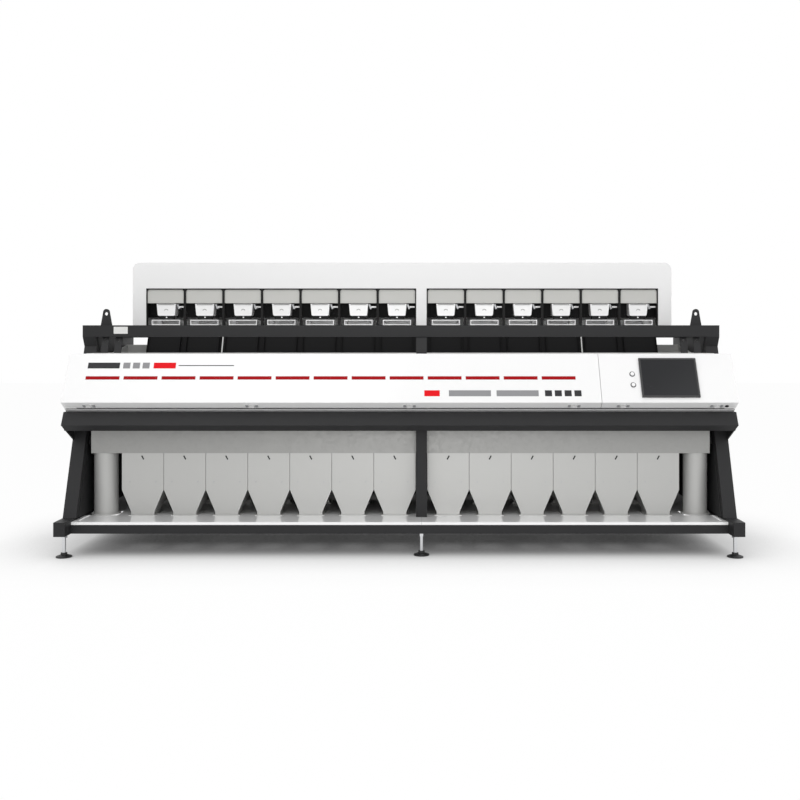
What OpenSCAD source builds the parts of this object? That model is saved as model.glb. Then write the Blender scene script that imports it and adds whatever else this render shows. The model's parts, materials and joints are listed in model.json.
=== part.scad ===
// Thirteen-chute optical colour sorter.
// Front is -Y, +Z is up, the origin lies on the floor under the middle of the machine.
// Modules draw with Y counted back from the front ends of the runners; stand() centres them.

/* [Chutes and bays] */
// Distance between neighbouring chutes
chute_pitch = 310; // [280:1:340]
// Chutes to the left of the centre post
left_count = 7; // [5:1:7]
// Chutes to the right of the centre post
right_count = 6; // [5:1:6]
// Gap between the two banks of chutes, taken by the centre post
centre_gap = 84; // [84:1:110]
// Outer width of one chute
chute_w = 262; // [240:1:276]
// Length of the sliding face of a chute
chute_len = 430; // [380:1:460]
// Lean of the chutes from the vertical, in degrees
chute_lean = 24; // [21:1:27]
// Height of the side walls of a chute
chute_wall_h = 22; // [15:1:30]
// Sheet thickness of chutes, spouts, hopper and panels
sheet_t = 3; // [2:0.5:4]

/* [Base] */
// Overall depth, front to back of the runners
depth = 1550; // [1500:1:1650]
// Room from the outermost bay to the outer face of a side frame
end_room = 355; // [345:1:420]
// Clear height under the runners
floor_clear = 160; // [130:1:190]
// Width of a runner
runner_w = 80; // [70:1:90]
// Height of a runner
runner_h = 100; // [90:1:110]
// Height and depth of the base crossbeams
beam_size = 80; // [70:1:85]
// Wall of the frame tubes
tube_wall = 4; // [3:0.5:6]
// Distance of the front crossbeam behind the runner ends
beam_set = 118; // [100:1:130]
// Thickness of the platform decks
deck_t = 3; // [2:0.5:5]
// Depth of the folded lip at the front of the platform
deck_lip = 20; // [12:1:30]

/* [Levelling feet] */
// Radius of the foot discs
foot_r = 55; // [45:1:60]
// Radius of the foot studs
stud_r = 13.5; // [10:0.5:16]
// Distance of the end feet from the runner ends
foot_inset = 95; // [80:1:110]
// Depth of the threaded bush above a foot
bush_h = 45; // [30:1:60]

/* [Side frames] */
// Width of the slanted legs
leg_w = 95; // [80:1:100]
// Depth of the slanted legs
leg_d = 90; // [75:1:100]
// Distance of the front leg's foot behind the runner ends
leg_foot = 175; // [165:1:190]
// Set-back of the front leg for each unit of height
front_slope = 0.36; // [0.34:0.01:0.38]
// Set-back of the rear leg for each unit going down
rear_slope = 0.56; // [0.54:0.01:0.58]
// Depth of the upright rear posts
post_d = 80; // [70:1:90]
// Height of the tie between the slanted legs
tie_h = 60; // [50:1:80]
// Thickness of the gusset plates that carry the front channel
gusset_t = 8; // [6:1:10]

/* [Upper beam] */
// Height of the upper beam above the top of the covers
upper_z = 126; // [105:1:145]
// Height of the upper frame
upper_h = 87; // [80:1:92]
// Distance of the upper beam behind the runner ends
upper_set = 577; // [565:1:590]
// Height of the lifting lugs
lug_h = 125; // [110:1:140]
// Width of a lifting lug at its foot
lug_w = 84; // [70:1:90]
// Plate thickness of the lifting lugs
lug_t = 16; // [12:1:20]
// Radius of the shackle hole in a lifting lug
lug_hole_r = 13; // [10:0.5:16]
// Width of the flat stays under the upper beam
stay_w = 52; // [40:1:60]

/* [Outlets] */
// Height of the joint between the spouts and the collector
outlet_z = 700; // [680:1:720]
// Distance of the spout fronts behind the runner ends
spout_set = 391; // [385:1:400]
// Depth of a spout at its top
spout_d = 348; // [330:1:360]
// Width and depth of a spout mouth
mouth = 170; // [150:1:190]
// Height at which the spouts start to taper
taper_z = 430; // [410:1:460]
// Height at which the taper ends
neck_z = 268; // [262:1:290]
// Gap between neighbouring spouts
spout_gap = 3; // [2:0.5:6]
// Outer radius of the round dust columns
column_r = 87.5; // [80:0.5:88]
// Height of the collector box
collector_h = 183; // [170:1:200]
// Room from the outermost bay to the end of the collector
collector_room = 225; // [220:1:235]

/* [Front channel and covers] */
// Height of the front channel
channel_h = 135; // [120:1:145]
// Distance of the channel crease behind the runner ends
channel_set = 140; // [130:1:150]
// Height of the crease above the underside of the channel
crease_h = 43; // [35:1:55]
// Height of the white sill above the channel
sill_h = 27; // [22:1:32]
// Height of the lower return of the covers
return_h = 42; // [36:1:48]
// Height of the sloping face of the covers
cover_h = 345; // [330:1:360]
// Distance of the cover fold behind the runner ends
cover_set = 118; // [110:1:126]
// Set-back of the cover's top edge from its fold
cover_back = 171; // [160:1:180]
// Sheet thickness of the covers
cover_t = 3; // [2:0.5:4]
// Radius of the hinge rods
hinge_r = 5; // [4:0.5:6]
// Running gap between neighbouring covers and panels
cover_gap = 3; // [2:0.5:5]

/* [Controls] */
// Width of the touchscreen
screen_w = 412; // [360:1:430]
// Height of the touchscreen along the slope
screen_h = 306; // [270:1:320]
// Thickness of the touchscreen bezel
screen_t = 14; // [10:1:20]
// Radius of the push buttons
button_r = 14; // [11:0.5:16]
// Travel of the push buttons
button_travel = 4; // [3:0.5:5]
// Radius of the latch knobs
latch_r = 22; // [18:1:25]
// Radius of the key lock
key_r = 10; // [8:0.5:12]

/* [Hood and feeders] */
// Height of the hood above the upper frame
hood_h = 503; // [490:1:520]
// Distance of the hood front behind the runner ends
hood_set = 1017; // [1005:1:1025]
// Width of the hood edge beside the bays
hood_edge = 108; // [95:1:120]
// Corner radius of the hood front
hood_corner = 60; // [40:1:80]
// Height of the bay openings
bay_h = 296; // [285:1:305]
// Rim of the black frame round a bay
bay_rim = 9; // [6:0.5:14]
// Outer width of a feeder tray
tray_w = 226; // [200:1:236]
// Height of a feeder tray
tray_h = 42; // [36:1:46]
// Length of a feeder tray
tray_len = 330; // [300:1:350]
// Width of a feeder box at its top
feeder_w = 154; // [140:1:170]
// Height of a feeder box
feeder_h = 97; // [85:1:105]

/* [Clearances] */
// Radial clearance of turning and sliding fits
fit = 0.05; // [0.03:0.01:0.08]
// Running gap beside moving pieces
run_gap = 0.5; // [0.4:0.1:0.8]
// Stroke of the feeder trays to either side of rest
tray_stroke = 1; // [0.5:0.1:1.2]

/* [Hidden] */
$fn = 48;

// gap of a welded joint between members of one sub-part
seam = 0.2;

count = left_count + right_count;
bank_half = (count * chute_pitch + centre_gap) / 2;
centre_x = -bank_half + left_count * chute_pitch + centre_gap / 2;
frame_half = bank_half + end_room;
leg_in = frame_half - leg_w;
runner_in = frame_half - runner_w;
runner_top = floor_clear + runner_h;
beam_top = floor_clear + beam_size;
deck_z = beam_top + deck_t;
post_half = centre_gap / 2 - 2;
post_front = spout_set - post_d;

post_set = depth - post_d - 10;

slot_room = 6;
slot_front = [spout_set - slot_room, spout_set + mouth + slot_room];
divider_y = spout_set + spout_d + spout_gap / 2;
slot_rear = [2 * divider_y - slot_front[1], 2 * divider_y - slot_front[0]];
collector_half = bank_half + collector_room;
collector_back = 2 * divider_y - spout_set;
column_x = bank_half + collector_room - column_r + 2.5;
column_y = spout_set + mouth / 2;

channel_z = outlet_z + collector_h;
channel_top = channel_z + channel_h;
channel_lean = 50;
sill_top = channel_top + sill_h;
cover_z = sill_top + cover_gap;
fold_z = cover_z + return_h;
cover_top = fold_z + cover_h;
upper_low = cover_top + upper_z;
upper_top = upper_low + upper_h;
leg_top = upper_low - seam;
rear_foot = upper_set + rear_slope * (upper_low - runner_top);
return_back = 68;
top_set = cover_set + cover_back;
face_len = norm([cover_back, cover_h]);
face_tilt = atan2(cover_h, cover_back);
return_len = norm([return_back, return_h]);
return_tilt = 180 - atan2(return_h, return_back);
cover_half = frame_half - 6;
seam_x = bank_half - 2 * chute_pitch;
panel_half = collector_half + 20;
panel_in = panel_half - sheet_t;
hinge_y = top_set + 46;
knuckle_r = hinge_r + 4;
hinge_z = cover_top - knuckle_r;
knuckle_l = 60;
knuckle_front = hinge_y - knuckle_r - 4;
eye_w = 24;
eye_step = 60;
rod_in = 12;
hinge_eyes = [-panel_half + 40, -panel_half + 160, -bank_half / 2, centre_x - 160, seam_x - 400, seam_x - 40,
              seam_x + 40, panel_half - 40];
latch_shaft = 6;

rear_wall = hood_set + 303;
support_d = 40;
backing_y = [sheet_t + seam, 2 * sheet_t + seam];
lug_x = leg_in - lug_w / 2 - 30;
stay_t = 14;
stay_step = 100;
hook_l = 32;
rail_front = [hood_set + 31, hood_set + 91];
rail_rear = [post_set - 60, post_set];
chute_top = [rail_front[0] - sheet_t, upper_top + sheet_t];
panel_back = chute_y(cover_top) - 40;
tray_z = upper_top + sheet_t + 8;
hood_half = bank_half + hood_edge;
hood_z = upper_top + 9;
hood_top = hood_z + hood_h;
hood_back = depth - 15;
bay_top = hood_z + bay_h;
mouth_y = [hood_set + 128, hood_set + 273];
hopper_low = tray_z + tray_h + 25;
hopper_high = hood_top - hood_corner - 2;
hopper_front = hood_set + 50;
hopper_rear = hood_back - 40;
feed_slot = [hopper_front + 40, hopper_rear - 40];
bay_d = 30;
panel_h = 118;
window_off = 60;
window_t = 4;
window_high = 30;
window_low = 130;
light_off = 130;
light_size = 40;
light_high = 30;
light_low = 170;
camera_off = 300;
camera_w = 56;
camera_d = 60;
camera_low = 100;
camera_h = 60;
camera_rail = 40;
rail_drop = 120;
lens_r = 20;
lens_l = 42;
valve_drop = 270;
valve_h = 60;
valve_off = 110;
valve_d = 42;
manifold_off = 150;
manifold_size = 80;
nozzle_r = 4;
nozzle_in = 10;
feeder_lift = 8;
feeder_taper = 8;
feeder_r = 12;
feeder_in = 20;

screen_x = seam_x + 494;
screen_mid = 191;
screen_rim = 12;
glass_t = 4;
button_x = seam_x + 234;
button_low = 137;
button_step = 85;
latch_inset = 30;
latches = [-frame_half + 194, -frame_half / 2 + 150, centre_x - 85, seam_x - 193, seam_x + 157,
           frame_half - 151];
key_x = frame_half - 77;
feet = [for (y = [foot_inset, depth - foot_inset], x = [-1, 1]) [x * (frame_half - runner_w / 2), y],
        for (y = [beam_set + beam_size / 2, depth - beam_set - beam_size / 2]) [centre_x, y]];

dark = "#383838";
white = "#ececec";
grey = "#b9b9b7";

// Middle of bay i, counted from the left
function bay_x(i) = -bank_half + (i + 0.5) * chute_pitch + (i >= left_count ? centre_gap : 0);
// Front edge of the front leg, rear leg and chute face at a height
function front_leg_y(z) = leg_foot + front_slope * (z - runner_top);
function rear_leg_y(z) = upper_set + rear_slope * (upper_low - z);
function chute_y(z) = chute_top[0] - tan(chute_lean) * (chute_top[1] - z);
// Front face of the hopper's front wall at a height
function wall_y(z) = mouth_y[0] - (z - hopper_low) * (mouth_y[0] - hopper_front) / (hopper_high - hopper_low);

module stand() translate([0, -depth / 2, 0]) children();
// Outline in depth and height, drawn out along the width
module along_x(x0, x1) translate([x0, 0, 0]) rotate([90, 0, 90]) linear_extrude(x1 - x0) children();
// Outline in width and height, drawn out along the depth
module along_y(y0, y1) translate([0, y1, 0]) rotate([90, 0, 0]) linear_extrude(y1 - y0) children();
module rect(x0, x1, y0, y1) translate([x0, y0]) square([x1 - x0, y1 - y0]);
module box(x, y, z) translate([x[0], y[0], z[0]]) cube([x[1] - x[0], y[1] - y[0], z[1] - z[0]]);
module ring(x, y, wall) difference() {
    rect(x[0], x[1], y[0], y[1]);
    rect(x[0] + wall, x[1] - wall, y[0] + wall, y[1] - wall);
}
module both_sides() for (s = [0, 1]) mirror([s, 0, 0]) children();
module each_bay() for (i = [0:count - 1]) translate([bay_x(i), 0, 0]) children();
// Child set on the sloping cover face, its z axis pointing out and its y axis up the slope
module on_face(x, up) translate([x, cover_set, fold_z]) rotate([face_tilt, 0, 0])
    translate([0, up, 0]) children();
// Child set on the lower return of the covers, its z axis pointing out
module on_return(x, up) translate([x, cover_set + return_back, cover_z]) rotate([return_tilt, 0, 0])
    translate([0, up, 0]) children();

module foot_bush(p) translate([p[0], p[1], floor_clear]) cylinder(r = stud_r + 10, h = bush_h);
module foot_bore(p) translate([p[0], p[1], floor_clear - 1]) cylinder(r = stud_r + fit, h = bush_h + 2);

// Runner tubes with their end caps
module runners() color(dark) stand() both_sides() {
    difference() {
        union() {
            along_y(tube_wall, depth - tube_wall)
                ring([runner_in, frame_half], [floor_clear, runner_top], tube_wall);
            for (i = [1, 3]) foot_bush(feet[i]);
        }
        for (i = [1, 3]) foot_bore(feet[i]);
    }
    for (y = [[0, tube_wall - seam], [depth - tube_wall + seam, depth]])
        box([runner_in, frame_half], y, [floor_clear, runner_top]);
}

// Base crossbeams, centre rail, the ledges under the decks and the dark sheet that closes the rear below
module crossbeams() color(dark) stand() {
    backs = [beam_set, depth - beam_set - beam_size];
    for (i = [0, 1]) difference() {
        union() {
            along_x(-runner_in, runner_in)
                ring([backs[i], backs[i] + beam_size], [floor_clear, beam_top], tube_wall);
            foot_bush(feet[4 + i]);
        }
        foot_bore(feet[4 + i]);
    }
    along_y(backs[0] + beam_size + seam, backs[1] - seam)
        ring([centre_x - post_half, centre_x + post_half], [floor_clear, beam_top], tube_wall);
    both_sides() box([runner_in - beam_size / 2, runner_in], [backs[0] + beam_size + seam, backs[1] - seam],
                     [beam_top - beam_size / 2, beam_top]);
    rear = leg_in - sheet_t - 2 * seam;
    back = depth - beam_set + seam;
    box([-rear, rear], [back, back + sheet_t], [beam_top - beam_size / 2, channel_z]);
}

// White decks with slots under the two rows of spouts
module platform_decks() color(white) stand() {
    end = runner_in - 2;
    joint = 1;
    for (x = [[-end, centre_x - joint / 2], [centre_x + joint / 2, end]]) {
        along_x(x[0], x[1]) {
            rect(beam_set - deck_t, slot_front[0], beam_top, deck_z);
            rect(beam_set - deck_t, beam_set, deck_z - deck_lip, deck_z);
        }
        box(x, [slot_front[1], slot_rear[0]], [beam_top, deck_z]);
        box(x, [slot_rear[1], depth - beam_set], [beam_top, deck_z]);
    }
}

// Outlines of one side frame in depth and height
module rear_leg_shape() polygon([[rear_leg_y(leg_top), leg_top], [rear_leg_y(leg_top) + leg_d, leg_top],
    [rear_foot + leg_d, runner_top], [rear_foot, runner_top]]);
module behind_rear_leg() polygon([[rear_leg_y(upper_top), upper_top], [depth, upper_top], [depth, runner_top],
    [rear_foot, runner_top]]);
module front_leg_shape() difference() {
    polygon([[leg_foot, runner_top], [leg_foot + leg_d, runner_top],
        [front_leg_y(leg_top) + leg_d, leg_top], [front_leg_y(leg_top), leg_top]]);
    translate([-seam, 0]) behind_rear_leg();
}
module before_front_leg() polygon([[0, runner_top], [leg_foot + leg_d, runner_top],
    [front_leg_y(upper_low) + leg_d, upper_low], [0, upper_low]]);
// Sheet on the inner side of the legs, its corners given at the front edges of the legs
module side_sheet(corners) along_x(leg_in - seam - sheet_t, leg_in - seam)
    translate([leg_d / 2, 0]) polygon(corners);
module side_frame() {
    tie_z = channel_z - collector_h / 2;
    along_x(leg_in, frame_half) front_leg_shape();
    along_x(leg_in, frame_half) rear_leg_shape();
    // upright rear post and the upper arm with the block that ends the upper beam
    box([leg_in, frame_half], [post_set, post_set + post_d], [runner_top, upper_low - seam]);
    box([leg_in, frame_half], [upper_set, post_set + post_d], [upper_low, upper_top]);
    // tie that also carries the end of the collector
    along_x(collector_half, frame_half) difference() {
        rect(leg_foot, rear_foot, tie_z - tie_h / 2, tie_z + tie_h / 2);
        translate([seam, 0]) before_front_leg();
        translate([-seam, 0]) behind_rear_leg();
    }
    // brace between the feet of the slanted legs
    along_x(leg_in + leg_w / 4, frame_half - leg_w / 4) difference() {
        brace_z = runner_top + leg_w;
        rect(leg_foot, rear_foot, brace_z, brace_z + tie_h / 2);
        translate([seam, 0]) before_front_leg();
        translate([-seam, 0]) behind_rear_leg();
    }
    // gusset plate that carries the end of the front channel
    along_x(frame_half - gusset_t, frame_half) difference() {
        polygon([[channel_set + channel_lean, channel_top], [channel_set, channel_z + crease_h],
            [front_leg_y(channel_z - 80), channel_z - 80], [front_leg_y(channel_top), channel_top]]);
        translate([-seam, 0]) front_leg_shape();
    }
    // ledge that holds the end panel of the optical box
    ledge_y = front_leg_y(cover_top - tie_h);
    box([panel_half, leg_in - seam], [ledge_y, ledge_y + leg_d], [cover_top - tie_h, cover_top]);
    // dark sheets inside the legs: below and above the tie, and from the rear leg to the post
    for (z = [[runner_top, tie_z - tie_h / 2 - seam], [tie_z + tie_h / 2 + seam, cover_top - tie_h - seam]])
        side_sheet([[front_leg_y(z[0]), z[0]], [front_leg_y(z[1]), z[1]],
            [rear_leg_y(z[1]) - seam, z[1]], [rear_leg_y(z[0]) - seam, z[0]]]);
    side_sheet([[rear_leg_y(runner_top), runner_top], [post_set - leg_d / 4, runner_top],
        [post_set - leg_d / 4, leg_top], [rear_leg_y(leg_top), leg_top]]);
}
module left_side_frame() color(dark) stand() mirror([1, 0, 0]) side_frame();
module right_side_frame() color(dark) stand() side_frame();

// Centre post: upright below, leaning back above
module centre_frame() color(dark) stand() along_x(centre_x - post_half, centre_x + post_half) {
    rect(post_front, post_front + post_d, deck_z, channel_top);
    polygon([[post_front, channel_top + seam], [post_front + post_d, channel_top + seam],
        [upper_set + upper_h, upper_low], [upper_set + upper_h - post_d, upper_low]]);
}

// Folded channel under the covers
module front_channel() color(dark) stand()
    along_x(gusset_t - frame_half, frame_half - gusset_t) difference() {
    outline = [[channel_set + channel_lean, channel_top], [channel_set, channel_z + crease_h],
        [channel_set + channel_lean, channel_z], [post_front, channel_z], [post_front, channel_top]];
    polygon(outline);
    intersection() {
        translate([tube_wall, 0]) polygon([for (p = outline) [p[0] + (p[0] == post_front ? 10 : 0), p[1]]]);
        rect(0, depth, channel_z + tube_wall, channel_top - tube_wall);
    }
}

module upper_beam() color(dark) stand() {
    along_x(-leg_in, leg_in) ring([upper_set, upper_set + upper_h], [upper_low, upper_top], tube_wall);
    for (r = [rail_front, rail_rear])
        along_x(-leg_in, leg_in) ring(r, [upper_low, upper_top], tube_wall);
}

// Tapered lifting lugs with rounded heads on the upper beam, and the slanted stays under it
module lug() along_y(-lug_t / 2, lug_t / 2) difference() {
    head_r = lug_w / 3.5;
    union() {
        polygon([[-lug_w / 2, 0], [lug_w / 2, 0], [head_r, lug_h - head_r], [-head_r, lug_h - head_r]]);
        translate([0, lug_h - head_r]) circle(r = head_r);
    }
    translate([0, lug_h - head_r - lug_hole_r]) circle(r = lug_hole_r);
}
module stay() difference() {
    low = cover_top + sheet_t - upper_low;
    lean = front_slope * low;
    along_x(-stay_w / 2, stay_w / 2)
        polygon([[-stay_t, 0], [0, 0], [lean, low], [lean - stay_t, low]]);
    translate([0, -depth / 2, -stay_w / 2]) rotate([-90, 0, 0]) cylinder(r = stay_w / 5, h = depth);
}
module lugs_and_stays() color(dark) stand() both_sides() translate([lug_x, upper_set + upper_h / 2, 0]) {
    translate([0, 0, upper_top]) lug();
    for (x = [0, -stay_step]) translate([x, 0, upper_low]) stay();
}

// Walls and divider of the collector
module collector_box() color("#9d9d9b") stand() {
    inner = collector_half - sheet_t;
    for (y = [spout_set, collector_back - sheet_t])
        box([-collector_half, collector_half], [y, y + sheet_t], [outlet_z, channel_z]);
    both_sides() {
        box([inner, collector_half], [spout_set + sheet_t + seam, collector_back - sheet_t - seam],
            [outlet_z, channel_z]);
        difference() {
            box([bank_half, inner - seam], [spout_set + sheet_t + seam, divider_y - sheet_t / 2 - seam],
                [outlet_z, outlet_z + sheet_t]);
            translate([column_x, column_y, outlet_z - 1])
                cylinder(r = column_r - sheet_t + 1, h = sheet_t + 2);
        }
    }
    box([seam - inner, inner - seam], [divider_y - sheet_t / 2, divider_y + sheet_t / 2],
        [outlet_z, channel_z]);
}

// One tapering outlet spout, open above and below; inset 0 gives its outside
module spout_form(inset, over) {
    w = chute_pitch / 2 - spout_gap / 2 - inset;
    m = mouth / 2 - inset;
    low = beam_top - 20 - over;
    high = outlet_z + over;
    intersection() {
        along_y(0, depth) polygon([[-w, high], [-w, taper_z], [-m, neck_z], [-m, low],
            [m, low], [m, neck_z], [w, taper_z], [w, high]]);
        along_x(-w, w) polygon([[spout_set + inset, low], [spout_set + inset, high],
            [spout_set + spout_d - inset, high], [spout_set + spout_d - inset, taper_z],
            [spout_set + mouth - inset, neck_z], [spout_set + mouth - inset, low]]);
    }
}
module spout() difference() {
    spout_form(0, 0);
    spout_form(sheet_t, 5);
}
module outlet_spouts() color(grey) stand() each_bay() spout();
module reject_spouts() color("#d5d5d3") stand() translate([0, 2 * divider_y, 0]) mirror([0, 1, 0])
    each_bay() spout();

module dust_columns() color("#c4c4c2") stand() both_sides() translate([column_x, column_y, 0]) difference() {
    union() {
        translate([0, 0, deck_z]) cylinder(r = column_r, h = outlet_z - deck_z, $fn = 96);
        translate([0, 0, deck_z]) cylinder(r = column_r + 18, h = 8, $fn = 96);
    }
    translate([0, 0, deck_z - 1]) cylinder(r = column_r - sheet_t, h = outlet_z, $fn = 96);
}

// Child set on the chute plane: y is its normal, z runs up along the slide
module on_chute() translate([0, chute_top[0], chute_top[1]]) rotate([-chute_lean, 0, 0]) children();
// Bar of a square section along the full width of the sorting chamber
module chamber_bar(y, z, size) box([seam - panel_in, panel_in - seam], [y - size / 2, y + size / 2],
    [z - size / 2, z + size / 2]);

// Section of a chute with the hook over the front rail, its face raised by a side wall of a height
module chute_section(wall) {
    up = [sin(chute_lean), cos(chute_lean)];
    back = [cos(chute_lean), -sin(chute_lean)];
    hook = chute_top[0] + hook_l;
    rise = (sheet_t * sin(chute_lean) - sheet_t) / cos(chute_lean);
    foot = chute_top - chute_len * up;
    polygon(concat([chute_top - wall * back, foot - wall * back, foot + sheet_t * back,
        chute_top + sheet_t * back + rise * up, [hook, upper_top], [hook, chute_top[1]]],
        wall > 0 ? [chute_top] : []));
}
// Black chutes with low side walls
module chute() {
    half = chute_w / 2;
    along_x(-half, half) chute_section(0);
    for (x = [-half, half - sheet_t]) along_x(x, x + sheet_t) chute_section(chute_wall_h);
}
// The chutes and the black plate behind them
module chutes() color("#101010") stand() {
    bank = bank_half - (chute_pitch - chute_w) / 2;
    each_bay() chute();
    on_chute() box([-bank, bank], backing_y, [-chute_len, -chute_len / 6]);
}

// Closed chamber round the light bars and cameras, with the support bar of the chutes
module optical_box() color("#d9d9d7") stand() {
    inner = centre_x + post_half;
    lip_y = knuckle_front + cover_gap;
    lip_z = cover_top - cover_t - cover_gap;
    both_sides() difference() {
        along_x(panel_in, panel_half) polygon([[post_front, channel_z], [post_front, lip_z],
            [lip_y, lip_z], [lip_y, cover_top - seam], [panel_back, cover_top - seam],
            [rear_wall, upper_low - tie_h], [rear_wall, channel_z]]);
        translate([0, hinge_y, hinge_z]) rotate([0, 90, 0]) cylinder(r = hinge_r + fit, h = frame_half);
    }
    for (x = [[-panel_half, inner - 2 * post_half], [inner, panel_half]])
        box(x, [hinge_y + knuckle_r + cover_gap, panel_back], [cover_top, cover_top + sheet_t]);
    box([seam - panel_in, panel_in - seam], [rear_wall - sheet_t, rear_wall], [channel_z, upper_low - tie_h]);
    on_chute() chamber_bar(backing_y[1] + seam + support_d / 2, -chute_len + support_d / 2, support_d);
    // eyes that hold the hinge rods
    for (x = hinge_eyes) difference() {
        along_x(x - eye_w / 2, x + eye_w / 2) {
            translate([hinge_y, hinge_z]) circle(r = knuckle_r);
            rect(hinge_y, hinge_y + 3 * knuckle_r, hinge_z - knuckle_r, cover_top - seam);
        }
        translate([0, hinge_y, hinge_z]) rotate([0, 90, 0]) translate([0, 0, -frame_half])
            cylinder(r = hinge_r + fit, h = 2 * frame_half);
    }
}

// White strip between the channel and the covers
module front_sill() color(white) stand() along_x(-cover_half, cover_half) {
    top = cover_set + return_back + cover_gap;
    foot = channel_set + channel_lean + 36;
    polygon([[top, sill_top], [foot, channel_top], [post_front, channel_top],
        [post_front, channel_top + sheet_t], [foot + 2 * sheet_t, channel_top + sheet_t],
        [top + 2 * sheet_t, sill_top]]);
}

module hinge_rods() color("#9a9c9e") stand()
    for (x = [[-cover_half + rod_in, seam_x - 1], [seam_x + 1, cover_half - rod_in]])
        translate([x[0], hinge_y, hinge_z]) rotate([0, 90, 0]) cylinder(r = hinge_r, h = x[1] - x[0]);

// Glass in front of and behind the falling product
module optical_windows() color("#9fb6b8") stand() on_chute() for (y = [-window_off, window_off])
    box([-panel_in, panel_in], [y, y + window_t], [-chute_len - window_low, -chute_len + window_high]);

module light_bars() color("#e8e8e4") stand() on_chute() for (y = [-light_off, light_off],
    z = [light_high, -light_low]) chamber_bar(y, -chute_len + z, light_size);

// Line cameras on their rails, one for each chute on both sides of the product
module camera(s) {
    side = s * camera_off;
    low = -chute_len - camera_low;
    box([-camera_w / 2, camera_w / 2], [side - camera_d / 2, side + camera_d / 2], [low, low + camera_h]);
    translate([0, side - s * camera_d / 2, low + camera_h / 2]) rotate([s * 90, 0, 0])
        cylinder(r = lens_r, h = lens_l);
}
module cameras() color("#2b2d30") stand() on_chute() for (s = [-1, 1]) {
    chamber_bar(s * camera_off, -chute_len - rail_drop, camera_rail);
    each_bay() camera(s);
}

// Square air manifold with one valve block for each chute
module ejector_bank() color("#8d9196") stand() on_chute() {
    mid = -chute_len - valve_drop;
    chamber_bar(-manifold_off, mid, manifold_size);
    each_bay() difference() {
        box([-chute_w / 2, chute_w / 2], [-valve_off, valve_d - valve_off],
            [mid - valve_h / 2, mid + valve_h / 2]);
        for (k = [-4:4]) translate([k * chute_w / 10, nozzle_in - valve_off, mid]) rotate([-90, 0, 0])
            cylinder(r = nozzle_r, h = valve_d + nozzle_in, $fn = 24);
    }
}

// Outline of the hood with rounded top corners, shrunk by an inset
module hood_shape(inset) {
    r = hood_corner - inset;
    half = hood_half - inset;
    top = hood_top - inset;
    rect(-half, half, upper_top, top - r);
    rect(-half + r, half - r, top - r - 1, top);
    for (x = [-half + r, half - r]) translate([x, top - r]) circle(r = r, $fn = 96);
}
module bank_openings(top)
    for (x = [[-bank_half, centre_x - centre_gap / 2], [centre_x + centre_gap / 2, bank_half]])
        rect(x[0], x[1], upper_top - 1, top);
module hood_fascia() color("#e5e5e5") stand() along_y(hood_set, hood_set + sheet_t) difference() {
    hood_shape(0);
    bank_openings(bay_top);
    rect(-hood_half, hood_half, 0, hood_z);
}
// Side, top and rear sheets of the hood, with the feed slot left open above
module hood_panels() color("#dededc") stand() {
    edge = hood_half - hood_corner - 20;
    front = hood_set + sheet_t;
    both_sides() along_y(front, hood_back - seam) difference() {
        hood_shape(0);
        hood_shape(sheet_t);
        rect(-hood_half, edge, 0, 2 * hood_top);
        rect(0, hood_half - sheet_t, 0, hood_top - hood_corner);
    }
    for (y = [[front, feed_slot[0]], [feed_slot[1], hood_back - seam]])
        box([seam - edge, edge - seam], y, [hood_top - sheet_t, hood_top]);
    along_y(hood_back, hood_back + sheet_t) hood_shape(0);
}

// Rounded clear shape of one bay, shrunk by an inset
module bay_clear(inset) {
    half = chute_pitch / 2 - bay_rim - inset;
    top = bay_top - bay_rim - inset;
    r = 2 * bay_rim - inset;
    rect(-half, half, upper_top - 1, top - r);
    rect(-half + r, half - r, top - r - 1, top);
    for (x = [-half + r, half - r]) translate([x, top - r]) circle(r = r);
}
module bay_frames() color("#1a1a1a") stand() each_bay() along_y(hood_set - 2, hood_set + bay_d) difference() {
    rect(seam - chute_pitch / 2, chute_pitch / 2 - seam, hood_z, bay_top);
    bay_clear(0);
}
module bay_panels() color("#bfbfbb") stand() each_bay()
    along_y(hood_set + 8, hood_set + 8 + sheet_t) intersection() {
    bay_clear(seam);
    rect(-chute_pitch, chute_pitch, bay_top - panel_h, bay_top);
}

// Front and rear walls of the feed hopper, held between the sides of the hood
module feed_hopper() color("#1c1c1c") stand() along_x(-hood_half + sheet_t, hood_half - sheet_t) {
    polygon([[hopper_front, hopper_high], [mouth_y[0], hopper_low], [mouth_y[0] + sheet_t, hopper_low],
        [hopper_front + sheet_t, hopper_high]]);
    polygon([[hopper_rear, hopper_high], [mouth_y[1], hopper_low], [mouth_y[1] - sheet_t, hopper_low],
        [hopper_rear - sheet_t, hopper_high]]);
}

// White drive housings in front of the hopper, narrower below with rounded corners
module feeder_box() intersection() {
    low = hopper_low + feeder_lift;
    high = low + feeder_h;
    top = feeder_w / 2;
    foot = top - feeder_taper;
    r = feeder_r;
    front = hood_set + feeder_in;
    along_y(hood_set, depth) {
        polygon([[-top, high], [top, high], [foot, low + r], [-foot, low + r]]);
        rect(-foot + r, foot - r, low, low + r + 1);
        for (x = [-foot + r, foot - r]) translate([x, low + r]) circle(r = r);
    }
    along_x(-feeder_w, feeder_w) polygon([[front, low], [front, high],
        [wall_y(high), high], [wall_y(low), low]]);
}
module feeder_boxes() color(white) stand() each_bay() feeder_box();

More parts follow.
